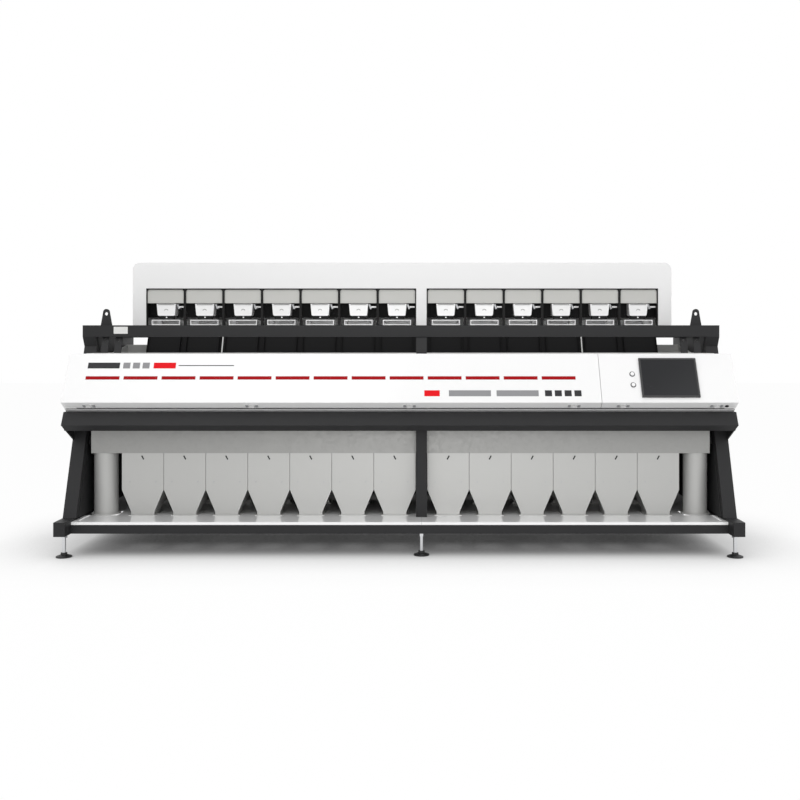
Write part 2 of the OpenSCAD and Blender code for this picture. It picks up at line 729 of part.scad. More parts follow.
// Magnet drives between the rails, with the rubber springs under each tray
module feeder_drive() {
    half = tray_w / 4;
    pads = [rail_front[1] + 10, rail_rear[0] - 90];
    box([-half, half], [rail_front[0] + hook_l + 2, rail_rear[1] - 5], [upper_top, upper_top + sheet_t]);
    box([-half + 8, half - 8], [rail_front[1] + 40, rail_rear[0] - 60], [upper_low + 8, upper_top]);
    for (y = pads, x = [-half + 16, half - 16]) translate([x, y, upper_top])
        cylinder(r = 12, h = tray_z - run_gap - upper_top);
}
module feeder_drives() color("#4a4c4f") stand() each_bay() feeder_drive();

// Trough of one feeder with a bridge across its mouth
module tray(i) color(white) stand() translate([bay_x(i), hood_set + sheet_t + 2 * tray_stroke, tray_z]) {
    half = tray_w / 2;
    wall = 2 * sheet_t;
    difference() {
        box([-half, half], [0, tray_len], [0, tray_h]);
        box([-half + wall, half - wall], [-1, tray_len - sheet_t], [wall, tray_h - wall]);
        box([-half + wall, half - wall], [tray_h, tray_len - sheet_t], [wall, tray_h + 1]);
    }
}

// Profile of a cover in depth and height, and the plate that closes its ends
module cover_profile() polygon([[top_set, cover_top], [cover_set, fold_z],
    [cover_set + return_back, cover_z],
    [cover_set + return_back, cover_z + 2 * cover_t], [cover_set + 1.2 * cover_t, fold_z],
    [top_set + cover_t, cover_top - cover_t], [knuckle_front, cover_top - cover_t],
    [knuckle_front, cover_top]]);
module cover_end() polygon([[top_set, cover_top], [cover_set, fold_z], [cover_set + return_back, cover_z],
    [knuckle_front, cover_top]]);
module cover(x, knuckles) difference() {
    union() {
        along_x(x[0], x[1]) cover_profile();
        along_x(x[0], x[0] + cover_t) cover_end();
        along_x(x[1] - cover_t, x[1]) cover_end();
        for (k = knuckles) along_x(k - knuckle_l / 2, k + knuckle_l / 2) {
            translate([hinge_y, hinge_z]) circle(r = knuckle_r);
            rect(knuckle_front - 1, hinge_y, cover_top - cover_t, cover_top);
        }
    }
    translate([-frame_half, hinge_y, hinge_z]) rotate([0, 90, 0])
        cylinder(r = hinge_r + fit, h = 2 * frame_half);
    for (l = latches) on_return(l, latch_inset)
        translate([0, 0, -20]) cylinder(r = latch_shaft + fit, h = 40);
    on_return(key_x, latch_inset) translate([0, 0, -20]) cylinder(r = key_r + fit, h = 40);
    for (k = [0, 1]) on_face(button_x, button_low + k * button_step) translate([0, 0, -20])
        cylinder(r = button_r + fit, h = 40);
}
module main_cover() color(white) stand() cover([-cover_half, seam_x - cover_gap / 2],
    [for (k = [1, 2, 3, 5]) hinge_eyes[k] + (k == 5 ? -1 : 1) * eye_step]);
module control_cover() color(white) stand() cover([seam_x + cover_gap / 2, cover_half],
    [hinge_eyes[6] + eye_step, hinge_eyes[7] - eye_step]);

module screen_bezel() color("#2a2a2a") stand() on_face(screen_x, screen_mid) difference() {
    translate([-screen_w / 2, -screen_h / 2, 0]) cube([screen_w, screen_h, screen_t]);
    translate([-screen_w / 2 + screen_rim, -screen_h / 2 + screen_rim, screen_t - glass_t])
        cube([screen_w - 2 * screen_rim, screen_h - 2 * screen_rim, glass_t + 1]);
}
module screen_glass() color("#15181c") stand() on_face(screen_x, screen_mid)
    translate([-screen_w / 2 + screen_rim, -screen_h / 2 + screen_rim, screen_t - glass_t])
        cube([screen_w - 2 * screen_rim, screen_h - 2 * screen_rim, glass_t - 0.5]);

// Push button with a slightly domed head
module push_button(k) stand() on_face(button_x, button_low + k * button_step) {
    translate([0, 0, -cover_t - 8]) cylinder(r = button_r, h = cover_t + 8 + button_travel + 3);
    translate([0, 0, button_travel + 3]) cylinder(r1 = button_r, r2 = button_r - 2, h = 2);
}
module on_button() color("#e6e6e6") push_button(1);
module off_button() color("#e6e6e6") push_button(0);

module key_lock() color("#3a3a3c") stand() on_return(key_x, latch_inset) difference() {
    union() {
        translate([0, 0, -cover_t - 12]) cylinder(r = key_r, h = cover_t + 13);
        translate([0, 0, run_gap]) cylinder(r = key_r + 3, h = 5);
    }
    translate([-1.5, -key_r / 2, 2]) cube([3, key_r, 5]);
}

// Quarter-turn latch: wing knob outside, tongue inside
module latch(i) color("#e2e2e2") stand() on_return(latches[i], latch_inset) {
    depth_in = cover_t + 12;
    translate([0, 0, -depth_in]) cylinder(r = latch_shaft, h = depth_in + 1);
    translate([0, 0, run_gap]) cylinder(r = latch_r, h = 6);
    translate([-latch_r + 2, -4, 6]) cube([2 * latch_r - 4, 8, 10]);
    translate([-latch_shaft, -latch_shaft, -depth_in]) cube([latch_inset + 18, 2 * latch_shaft, 4]);
}

// Levelling foot: disc, lock nut and stud in one turning piece
module foot(i) color("#c8cacc") stand() translate([feet[i][0], feet[i][1], 0]) {
    rotate_extrude($fn = 64) polygon([[0, 0], [foot_r, 0], [foot_r, 8], [stud_r + 9, 20], [stud_r + 9, 32],
        [stud_r, 34], [stud_r, floor_clear + bush_h - 5], [0, floor_clear + bush_h - 5]]);
    translate([0, 0, floor_clear - 1.6 * stud_r - run_gap])
        cylinder(r = 1.8 * stud_r, h = 1.6 * stud_r, $fn = 6);
}

runners();
crossbeams();
platform_decks();
left_side_frame();
right_side_frame();
centre_frame();
front_channel();
upper_beam();
lugs_and_stays();
collector_box();
outlet_spouts();
reject_spouts();
dust_columns();
chutes();
optical_box();
front_sill();
hinge_rods();
optical_windows();
light_bars();
cameras();
ejector_bank();
hood_fascia();
hood_panels();
bay_frames();
bay_panels();
feed_hopper();
feeder_boxes();
feeder_drives();
main_cover();
control_cover();
screen_bezel();
screen_glass();
on_button();
off_button();
key_lock();
for (i = [1:6]) latch(i - 1);
for (i = [1:6]) foot(i - 1);
for (i = [1:count]) tray(i - 1);
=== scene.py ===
"""Looks of a thirteen-chute optical colour sorter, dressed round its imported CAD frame."""

import json
import logging
import math
from dataclasses import dataclass, field
from enum import Enum
from typing import Any, Sequence

import bpy
from mathutils import Euler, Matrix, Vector


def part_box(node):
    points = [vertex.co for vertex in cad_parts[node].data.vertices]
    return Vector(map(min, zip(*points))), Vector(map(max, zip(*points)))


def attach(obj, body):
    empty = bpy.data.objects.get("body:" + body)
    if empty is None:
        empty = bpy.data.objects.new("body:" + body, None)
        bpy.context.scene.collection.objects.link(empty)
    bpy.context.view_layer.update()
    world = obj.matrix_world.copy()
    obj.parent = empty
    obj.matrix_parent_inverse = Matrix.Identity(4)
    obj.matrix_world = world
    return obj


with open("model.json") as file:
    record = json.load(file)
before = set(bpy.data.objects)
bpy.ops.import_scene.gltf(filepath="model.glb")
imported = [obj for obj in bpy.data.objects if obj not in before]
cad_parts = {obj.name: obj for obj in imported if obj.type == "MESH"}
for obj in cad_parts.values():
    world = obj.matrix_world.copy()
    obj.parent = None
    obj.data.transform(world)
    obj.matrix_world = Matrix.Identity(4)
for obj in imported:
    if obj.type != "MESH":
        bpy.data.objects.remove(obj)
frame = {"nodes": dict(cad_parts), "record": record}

log = logging.getLogger("colour_sorter")
MM = 0.001
STAND = "stand"
WHITE = (1.0, 1.0, 1.0, 1.0)
FACE_Y = (math.pi / 2, 0.0, 0.0)
FACE_X = (0.0, math.pi / 2, 0.0)
# Side of the square neck by which a spout passes its deck.
NECK = 170 * MM


def linear(hex_colour: str) -> tuple[float, float, float, float]:
    """Turn an sRGB hex colour into linear RGBA.

    Args:
        hex_colour: colour such as "#ececec".

    Returns:
        Linear red, green, blue and full alpha.
    """
    parts = [int(hex_colour[i:i + 2], 16) / 255 for i in (1, 3, 5)]
    red, green, blue = (p / 12.92 if p <= 0.04045 else ((p + 0.055) / 1.055) ** 2.4 for p in parts)
    return (red, green, blue, 1.0)


def add_node(tree: bpy.types.NodeTree, kind: str, settings: dict[str, Any],
             inputs: dict[Any, Any]) -> bpy.types.Node:
    """Add one node to a tree with its settings, socket values and incoming links.

    Args:
        tree: shader or geometry tree.
        kind: Blender's node type name.
        settings: attributes of the node.
        inputs: socket name or index to a value, or to an output socket to link from.

    Returns:
        The new node.
    """
    node = tree.nodes.new(kind)
    for name, value in settings.items():
        setattr(node, name, value)
    for key, value in inputs.items():
        socket = node.inputs[key]
        if isinstance(value, bpy.types.NodeSocket):
            tree.links.new(value, socket)
        else:
            socket.default_value = value
    return node


def seen_by_eye(tree: bpy.types.NodeTree) -> bpy.types.NodeSocket:
    """Add the nodes that tell what the eye sees, straight, in a mirror or through glass.

    Args:
        tree: shader tree.

    Returns:
        An output that is 1 for such rays and 0 for the rest.
    """
    path = add_node(tree, "ShaderNodeLightPath", {}, {}).outputs
    seen = add_node(tree, "ShaderNodeMath", {"operation": "MAXIMUM"}, {
        0: path["Is Camera Ray"], 1: path["Is Glossy Ray"]})
    shown = add_node(tree, "ShaderNodeMath", {"operation": "MAXIMUM"}, {
        0: seen.outputs[0], 1: path["Is Transmission Ray"]})
    return shown.outputs[0]


def new_object(name: str, data: bpy.types.ID) -> bpy.types.Object:
    """Make an object in the scene's own collection.

    Args:
        name: the object's name.
        data: its mesh, lamp or camera.

    Returns:
        The new object.
    """
    made = bpy.data.objects.new(name, data)
    bpy.context.scene.collection.objects.link(made)
    return made


class Surface(Enum):
    """How a surface was made, which decides the pattern that it shows."""

    SMOOTH = "smooth"
    SPRAYED = "sprayed"
    ROLLED = "rolled"
    SPANGLED = "spangled"
    DIPPED = "dipped"


# How far roughness strays below and above a finish's own value.
SPANGLE_BAND = (-0.08, 0.1)
GRAIN_BAND = (-0.05, 0.07)
# Rolling draws the grain out along the sheet.
ROLLED_STRETCH = (0.04, 1.0, 1.0)
EVEN_STRETCH = (1.0, 1.0, 1.0)
BUMP_STRENGTH = 0.04
BUMP_DEPTH = 0.2 * MM
# Sockets of the Mix node for colours, which share their names with those for numbers.
MIX_FIRST, MIX_SECOND, MIX_RESULT = 6, 7, 2


@dataclass(frozen=True)
class Finish:
    """One real material and the look that it gives."""

    name: str
    colour: str
    roughness: float
    metallic: float = 0.0
    ior: float = 1.5
    coat: float = 0.0
    surface: Surface = Surface.SMOOTH
    grain_mm: float = 1.0
    transmission: float = 0.0
    dip_colour: str = "#000000"
    dip_top_mm: float = 0.0
    dip_roughness: float = 0.5

    def material(self) -> bpy.types.Material:
        """Find this finish's material, or make it at its first use.

        Returns:
            The material.
        """
        found = bpy.data.materials.get(self.name)
        return found if found else self._make()

    def _make(self) -> bpy.types.Material:
        """Build the shader of the finish.

        Returns:
            The new material.
        """
        made = bpy.data.materials.new(self.name)
        made.use_nodes = True
        tree = made.node_tree
        shader = tree.nodes["Principled BSDF"]
        shader.inputs["Base Color"].default_value = linear(self.colour)
        shader.inputs["Roughness"].default_value = self.roughness
        shader.inputs["Metallic"].default_value = self.metallic
        shader.inputs["IOR"].default_value = self.ior
        shader.inputs["Coat Weight"].default_value = self.coat
        shader.inputs["Transmission Weight"].default_value = self.transmission
        if self.surface is Surface.DIPPED:
            self._dip(tree, shader)
        elif self.surface is not Surface.SMOOTH:
            self._pattern(tree, shader)
        return made

    def _dip(self, tree: bpy.types.NodeTree, shader: bpy.types.Node) -> None:
        """Coat the part below a height in another colour, as a dipped base is.

        Args:
            tree: the material's tree.
            shader: its Principled node.
        """
        place = add_node(tree, "ShaderNodeTexCoord", {}, {})
        parts = add_node(tree, "ShaderNodeSeparateXYZ", {}, {"Vector": place.outputs["Object"]})
        above = add_node(tree, "ShaderNodeMath", {"operation": "GREATER_THAN"}, {
            0: parts.outputs["Z"], 1: self.dip_top_mm * MM})
        mixed = add_node(tree, "ShaderNodeMix", {"data_type": "RGBA"}, {
            0: above.outputs[0], MIX_FIRST: linear(self.dip_colour), MIX_SECOND: linear(self.colour)})
        tree.links.new(mixed.outputs[MIX_RESULT], shader.inputs["Base Color"])
        rough = add_node(tree, "ShaderNodeMapRange", {}, {
            "Value": above.outputs[0], "To Min": self.dip_roughness, "To Max": self.roughness})
        tree.links.new(rough.outputs["Result"], shader.inputs["Roughness"])
        tree.links.new(above.outputs[0], shader.inputs["Metallic"])

    def _pattern(self, tree: bpy.types.NodeTree, shader: bpy.types.Node) -> None:
        """Link the surface's own pattern to the shader.

        Args:
            tree: the material's tree.
            shader: its Principled node.
        """
        place = add_node(tree, "ShaderNodeTexCoord", {}, {})
        scale = 1 / (self.grain_mm * MM)
        if self.surface is Surface.SPANGLED:
            cells = add_node(tree, "ShaderNodeTexVoronoi", {}, {
                "Vector": place.outputs["Object"], "Scale": scale})
            spread, band = cells.outputs["Color"], SPANGLE_BAND
        else:
            stretch = ROLLED_STRETCH if self.surface is Surface.ROLLED else EVEN_STRETCH
            turned = add_node(tree, "ShaderNodeMapping", {}, {
                "Vector": place.outputs["Object"], "Scale": stretch})
            noise = add_node(tree, "ShaderNodeTexNoise", {}, {
                "Vector": turned.outputs["Vector"], "Scale": scale})
            spread, band = noise.outputs["Fac"], GRAIN_BAND
        rough = add_node(tree, "ShaderNodeMapRange", {}, {
            "Value": spread, "To Min": self.roughness + band[0], "To Max": self.roughness + band[1]})
        tree.links.new(rough.outputs["Result"], shader.inputs["Roughness"])
        bump = add_node(tree, "ShaderNodeBump", {}, {
            "Height": spread, "Strength": BUMP_STRENGTH, "Distance": BUMP_DEPTH})
        tree.links.new(bump.outputs["Normal"], shader.inputs["Normal"])


# Sprayed paint shows a soft orange peel, drawn coarser than a real one so that it shows at this distance.
FRAME_PAINT = Finish("charcoal sprayed enamel", "#252526", 0.5, ior=1.3, surface=Surface.SPRAYED, grain_mm=6)
COVER_PAINT = Finish("white sprayed enamel", "#e5e5e5", 0.3, coat=0.25, surface=Surface.SPRAYED, grain_mm=8)
HOOD_PAINT = Finish("pale grey sprayed enamel", "#e4e4e4", 0.36, surface=Surface.SPRAYED, grain_mm=8)
DECK_PAINT = Finish("white gloss deck enamel", "#efefef", 0.16, coat=0.5)
PANEL_PAINT = Finish("light grey sprayed enamel", "#d6d6d4", 0.4, surface=Surface.SPRAYED, grain_mm=8)
BAY_PAINT = Finish("stone grey sprayed enamel", "#bfbfbb", 0.4, surface=Surface.SPRAYED, grain_mm=8)
CHUTE_PAINT = Finish("black hard coating", "#0b0b0c", 0.55, ior=1.2)
# The steel feed hopper is coloured near black to stand for the shade inside the hood: painted shade, not a
# coating.
HOPPER_SHADE_BLACK = Finish("hopper painted shade", "#0b0b0c", 0.6, ior=1.3)
TRAY_PAINT = Finish("white gloss tray enamel", "#f6f6f6", 0.22, coat=0.3)
# Folded sheet steel keeps the long faint lines of its rolling.
SPOUT_STEEL = Finish("rolled stainless sheet", "#b1b1af", 0.42, 0.55, surface=Surface.ROLLED, grain_mm=5)
COLUMN_STEEL = Finish("rolled bright tube", "#b3b3b1", 0.5, 0.2, surface=Surface.ROLLED, grain_mm=6)
# Hot-dip zinc freezes in flat crystals a couple of centimetres wide.
GALVANISED = Finish("galvanised sheet", "#969694", 0.44, 0.55, surface=Surface.SPANGLED, grain_mm=22)
ZINC = Finish("zinc plated steel", "#a9aaac", 0.38, 0.7, surface=Surface.ROLLED, grain_mm=4)
ROD_STEEL = Finish("ground steel rod", "#a0a2a4", 0.25, 1.0)
CHROME = Finish("chromed stud on a black base", "#d2d3d5", 0.12, 1.0, surface=Surface.DIPPED,
                dip_colour="#161617", dip_top_mm=34)
VALVE_METAL = Finish("anodised aluminium", "#969a9e", 0.38, 1.0)
DRIVE_IRON = Finish("painted cast iron", "#4a4c4f", 0.6, surface=Surface.SPRAYED, grain_mm=4)
BLACK_TRIM = Finish("black moulded trim", "#111111", 0.55, ior=1.3)
CAMERA_BLACK = Finish("black camera housing", "#222326", 0.45)
BEZEL = Finish("black moulded bezel", "#202021", 0.42)
SCREEN = Finish("dark display glass", "#141518", 0.2, ior=1.35)
WINDOW = Finish("clear float glass", "#dfe9e8", 0.03, ior=1.52, transmission=0.9)
LAMP = Finish("opal lamp cover", "#e6e6e2", 0.4)
BUTTON = Finish("white moulded button", "#e6e6e6", 0.25, coat=0.3)
LATCH = Finish("grey moulded latch", "#c4c4c4", 0.3, coat=0.2)
LATCH_BASE = Finish("grey moulded latch base", "#97989a", 0.45)
LOCK = Finish("dark burnished steel", "#3b3b3d", 0.35, 0.8)
DASH_FILM = Finish("deep red vinyl film", "#98060f", 0.5, ior=1.2)
RED_FILM = Finish("bright red vinyl film", "#d8121c", 0.5, ior=1.2)
GREY_FILM = Finish("grey vinyl film", "#8a8a8c", 0.5, ior=1.2)
DARK_FILM = Finish("charcoal vinyl film", "#343436", 0.5, ior=1.2)
JOINT_DARK = Finish("shadowed sheet joint", "#565656", 0.6)
MARK_GREY = Finish("grey moulded mark", "#a8a8a6", 0.4)
FLOOR = Finish("pale studio floor", "#f3f3f3", 0.7)

SLOT_FINISHES: dict[str, Finish] = {
    "frame_paint": FRAME_PAINT, "deck_white": DECK_PAINT, "galvanised": GALVANISED,
    "spout_steel": SPOUT_STEEL, "column_steel": COLUMN_STEEL, "chute_black": CHUTE_PAINT,
    "panel_grey": PANEL_PAINT, "cover_white": COVER_PAINT, "rod_steel": ROD_STEEL, "window_glass": WINDOW,
    "lamp_white": LAMP, "camera_black": CAMERA_BLACK, "valve_aluminium": VALVE_METAL,
    "hood_white": HOOD_PAINT,
    "bay_black": BLACK_TRIM, "bay_grey": BAY_PAINT, "hopper_dark": HOPPER_SHADE_BLACK, "feeder_white": TRAY_PAINT,
    "drive_grey": DRIVE_IRON, "bezel_black": BEZEL, "screen_black": SCREEN, "button_white": BUTTON,
    "lock_dark": LOCK, "latch_white": LATCH, "foot_chrome": CHROME, "tray_white": TRAY_PAINT,
}


class Form(Enum):
    """Shape of a small piece that repeats along the machine."""

    BLOCK = "block"
    DISC = "disc"
    HEX = "hex"
    ARC = "arc"


SIDES = {Form.DISC: 20, Form.HEX: 6}
ARC_START = math.radians(25)
ARC_SWEEP = math.radians(130)
ARC_POINTS = 12
WIRE_SIDES = 8


def _round_shape(tree: bpy.types.NodeTree, form: Form, radius: bpy.types.NodeSocket,
                 height: bpy.types.NodeSocket) -> bpy.types.Node:
    """Add the nodes of a disc, a hexagon or an arc of wire.

    Args:
        tree: geometry tree.
        form: shape to make.
        radius: output that gives its radius.
        height: output that gives its height, or the wire's thickness.

    Returns:
        The node with the finished mesh.
    """
    if form is not Form.ARC:
        return add_node(tree, "GeometryNodeMeshCylinder", {}, {
            "Vertices": SIDES[form], "Radius": radius, "Depth": height})
    arc = add_node(tree, "GeometryNodeCurveArc", {"mode": "RADIUS"}, {
        "Resolution": ARC_POINTS, "Radius": radius, "Start Angle": ARC_START, "Sweep Angle": ARC_SWEEP})
    wire = add_node(tree, "ShaderNodeMath", {"operation": "DIVIDE"}, {0: height, 1: 2.0})
    ring = add_node(tree, "GeometryNodeCurvePrimitiveCircle", {"mode": "RADIUS"}, {
        "Resolution": WIRE_SIDES, "Radius": wire.outputs[0]})
    return add_node(tree, "GeometryNodeCurveToMesh", {}, {
        "Curve": arc.outputs["Curve"], "Profile Curve": ring.outputs["Curve"], "Fill Caps": True})


def row_tree(form: Form) -> bpy.types.NodeTree:
    """Build or fetch the node tree that sets one form on every point of a row.

    Args:
        form: shape to repeat.

    Returns:
        A geometry tree with the inputs Size, Turn and Finish.
    """
    name = f"row of {form.value}s"
    if name in bpy.data.node_groups:
        return bpy.data.node_groups[name]
    tree = bpy.data.node_groups.new(name, "GeometryNodeTree")
    sockets = (("Geometry", "NodeSocketGeometry"), ("Size", "NodeSocketVector"),
               ("Turn", "NodeSocketVector"), ("Finish", "NodeSocketMaterial"))
    for label, kind in sockets:
        tree.interface.new_socket(label, in_out="INPUT", socket_type=kind)
    tree.interface.new_socket("Geometry", in_out="OUTPUT", socket_type="NodeSocketGeometry")
    given = add_node(tree, "NodeGroupInput", {}, {}).outputs
    if form is Form.BLOCK:
        shape = add_node(tree, "GeometryNodeMeshCube", {}, {"Size": given["Size"]})
    else:
        parts = add_node(tree, "ShaderNodeSeparateXYZ", {}, {"Vector": given["Size"]})
        half = add_node(tree, "ShaderNodeMath", {"operation": "DIVIDE"}, {0: parts.outputs["X"], 1: 2.0})
        shape = _round_shape(tree, form, half.outputs[0], parts.outputs["Z"])
    turn = add_node(tree, "FunctionNodeEulerToRotation", {}, {"Euler": given["Turn"]})
    placed = add_node(tree, "GeometryNodeInstanceOnPoints", {}, {
        "Points": given["Geometry"], "Instance": shape.outputs["Mesh"], "Rotation": turn.outputs["Rotation"]})
    real = add_node(tree, "GeometryNodeRealizeInstances", {}, {"Geometry": placed.outputs["Instances"]})
    dressed = add_node(tree, "GeometryNodeSetMaterial", {}, {
        "Geometry": real.outputs["Geometry"], "Material": given["Finish"]})
    add_node(tree, "NodeGroupOutput", {}, {"Geometry": dressed.outputs["Geometry"]})
    return tree


@dataclass
class Row:
    """Small pieces of one shape, set on points of one body."""

    name: str
    body: str
    slot: str
    finish: Finish
    points: Sequence[Vector]
    size: tuple[float, float, float]
    form: Form = Form.BLOCK
    turn: tuple[float, float, float] = (0.0, 0.0, 0.0)

    def build(self) -> bpy.types.Object:
        """Make the row as one plain mesh that rides its body.

        Returns:
            The finished object.
        """
        points = bpy.data.meshes.new(self.name)
        points.from_pydata([tuple(p) for p in self.points], [], [])
        row = new_object(self.name, points)
        tree = row_tree(self.form)
        nodes = row.modifiers.new("row", "NODES")
        nodes.node_group = tree
        values = {"Size": self.size, "Turn": self.turn, "Finish": self.finish.material()}
        for item in tree.interface.items_tree:
            if item.in_out == "INPUT" and item.name in values:
                nodes[item.identifier] = values[item.name]
        graph = bpy.context.evaluated_depsgraph_get()
        plain = bpy.data.meshes.new_from_object(row.evaluated_get(graph))
        row.modifiers.clear()
        row.data = plain
        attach(row, self.body)
        log.info("row %s: %d pieces on %s", self.name, len(self.points), self.body)
        return row


def middle(node: str) -> Vector:
    """Find the middle of a CAD node's box.

    Args:
        node: the node's name.

    Returns:
        The point halfway between the box's corners.
    """
    low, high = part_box(node)
    return (low + high) / 2


def joint_x(name: str) -> float:
    """Find where a joint's pivot lies along the machine.

    Args:
        name: the joint's name.

    Returns:
        The x of the pivot.
    """
    joints = {joint["name"]: joint for joint in frame["record"]["behaviour"]["joints"]}
    return joints[name]["pos_m"][0]


def bay_middles() -> list[float]:
    """Read the places of the bays from the feeder trays.

    Returns:
        The x of each bay's middle, from left to right.
    """
    trays = [name for name in frame["nodes"] if name.startswith("tray_")]
    return sorted(middle(name).x for name in trays)


@dataclass
class Stand:
    """All the CAD nodes, which only need their finishes."""

    finishes: dict[str, Finish] = field(default_factory=lambda: SLOT_FINISHES)

    def dress(self) -> None:
        """Give each CAD node the finish of its material slot."""
        for entry in frame["record"]["subparts"]:
            node = frame["nodes"][entry["node"]]
            finish = self.finishes[entry["material_slot"]]
            node.data.materials.clear()
            node.data.materials.append(finish.material())
            log.info("node %s: %s", entry["node"], finish.name)


@dataclass
class SpoutRow:
    """Flanges and screws of both rows of spouts, and the clips of the outlets."""

    flange_w: float = 14 * MM
    flange_t: float = 5 * MM
    screw_d: float = 9 * MM
    screw_h: float = 4 * MM
    screw_z: float = 489 * MM
    screw_in: float = 59 * MM
    clip_z: float = 668 * MM
    clip_size: tuple[float, float, float] = (32 * MM, 2 * MM, 9 * MM)
    clip_turn: float = math.radians(62)

    def build(self) -> None:
        """Make the pieces of the front and rear rows."""
        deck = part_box("platform_decks")[1].z
        for node, label in (("outlet_spouts", "outlet"), ("reject_spouts", "reject")):
            low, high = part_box(node)
            front = label == "outlet"
            self._flanges(label, deck, low.y + NECK / 2 if front else high.y - NECK / 2)
            self._screws(label, low.y if front else high.y, -1 if front else 1)
        self._clips(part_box("outlet_spouts")[0].y)

    def _flanges(self, label: str, deck: float, centre_y: float) -> None:
        """Frame each spout's neck where it passes the platform.

        Args:
            label: name of the row.
            deck: height of the platform's top.
            centre_y: middle of the necks.
        """
        reach = NECK / 2 + self.flange_w / 2
        z = deck + self.flange_t / 2
        along = [Vector((x, centre_y + s * reach, z)) for x in bay_middles() for s in (-1, 1)]
        across = [Vector((x + s * reach, centre_y, z)) for x in bay_middles() for s in (-1, 1)]
        long_side = NECK + 2 * self.flange_w
        Row(f"{label}_flange_long", STAND, "spout_steel", SPOUT_STEEL, along,
            (long_side, self.flange_w, self.flange_t)).build()
        Row(f"{label}_flange_cross", STAND, "spout_steel", SPOUT_STEEL, across,
            (self.flange_w, NECK, self.flange_t)).build()

    def _screws(self, label: str, face_y: float, outward: int) -> None:
        """Set two screws on the face of each spout.

        Args:
            label: name of the row.
            face_y: y of the spouts' outer face.
            outward: sign of the way out along y.
        """
        half_pitch = (bay_middles()[1] - bay_middles()[0]) / 2
        y = face_y + outward * self.screw_h / 2
        points = [Vector((x + s * (half_pitch - self.screw_in), y, self.screw_z))
                  for x in bay_middles() for s in (-1, 1)]
        Row(f"{label}_screws", STAND, "rod_steel", ZINC, points, (self.screw_d, self.screw_d, self.screw_h),
            Form.DISC, FACE_Y).build()

    def _clips(self, face_y: float) -> None:
        """Set the slanted clip below the top of each outlet, leaning to the centre post on both sides.

        Args:
            face_y: y of the outlets' front face.
        """
        centre = middle("centre_frame").x
        y = face_y - self.clip_size[1] / 2
        for label, sign in (("left", 1), ("right", -1)):
            points = [Vector((x, y, self.clip_z)) for x in bay_middles() if (centre - x) * sign > 0]
            Row(f"outlet_clips_{label}", STAND, "frame_paint", FRAME_PAINT, points, self.clip_size,
                Form.BLOCK, (0.0, sign * self.clip_turn, 0.0)).build()


@dataclass
class DeckInfill:
    """Strips of the white decks between the necks of the spouts."""

    gap: float = 1 * MM
    thick: float = 3 * MM
    slot_room: float = 6 * MM
    post_depth: float = 80 * MM
    post_clear: float = 1.5 * MM
    column_clear: float = 2 * MM
    pitch_play: float = 1 * MM
    z: float = field(init=False)
    width: float = field(init=False)

    def __post_init__(self) -> None:
        """Set the strips level with the decks and as wide as the slots."""
        self.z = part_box("platform_decks")[1].z - self.thick / 2
        self.width = NECK + 2 * (self.slot_room - self.gap / 2)

    def build(self) -> None:
        """Fill both slots, leaving the necks, the centre post and the dust columns free."""
        bays = bay_middles()
        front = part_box("outlet_spouts")[0].y + NECK / 2
        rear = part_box("reject_spouts")[1].y - NECK / 2
        reach = NECK / 2 + self.gap
        pairs = [(a + reach, b - reach) for a, b in zip(bays, bays[1:])]
        usual = min(b - a for a, b in pairs)
        plain = [(a + b) / 2 for a, b in pairs if b - a < usual + self.pitch_play]
        Row("deck_strips", STAND, "deck_white", DECK_PAINT,
            [Vector((x, y, self.z)) for x in plain for y in (front, rear)],
            (usual, self.width, self.thick)).build()
        wide = next(pair for pair in pairs if pair[1] - pair[0] > usual + self.pitch_play)
        half = self.width / 2
        self._strip("deck_strip_rear_centre", wide, rear - half, rear + half)
        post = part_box("centre_frame")[0].y + self.post_depth + self.post_clear
        self._strip("deck_strip_front_centre", wide, max(front - half, post), front + half)
        self._ends(bays, reach, front, rear)

    def _strip(self, name: str, across: tuple[float, float], near: float, far: float) -> None:
        """Lay one strip.

        Args:
            name: name of the piece.
            across: its left and right ends.
            near: y of its front edge.
            far: y of its rear edge.
        """
        spot = Vector((sum(across) / 2, (near + far) / 2, self.z))
        Row(name, STAND, "deck_white", DECK_PAINT, [spot],
            (across[1] - across[0], far - near, self.thick)).build()

    def _ends(self, bays: list[float], reach: float, front: float, rear: float) -> None:
        """Lay the strips outside the outermost spouts.

        Args:
            bays: middles of the bays.
            reach: distance from a bay's middle to the edge of its strip.
            front: middle of the front slot.
            rear: middle of the rear slot.
        """
        half = self.width / 2
        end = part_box("platform_decks")[1].x
        low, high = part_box("dust_columns")
        column_d = high.y - low.y
        column = high.x - column_d - self.column_clear
        for label, side, bay in (("left", -1, bays[0]), ("right", 1, bays[-1])):
            inner = abs(bay) + reach
            for name, a, b, y in (("front", inner, column, front), ("rear", inner, end, rear)):
                across = (side * a, side * b) if side > 0 else (side * b, side * a)
                self._strip(f"deck_strip_{name}_{label}", across, y - half, y + half)


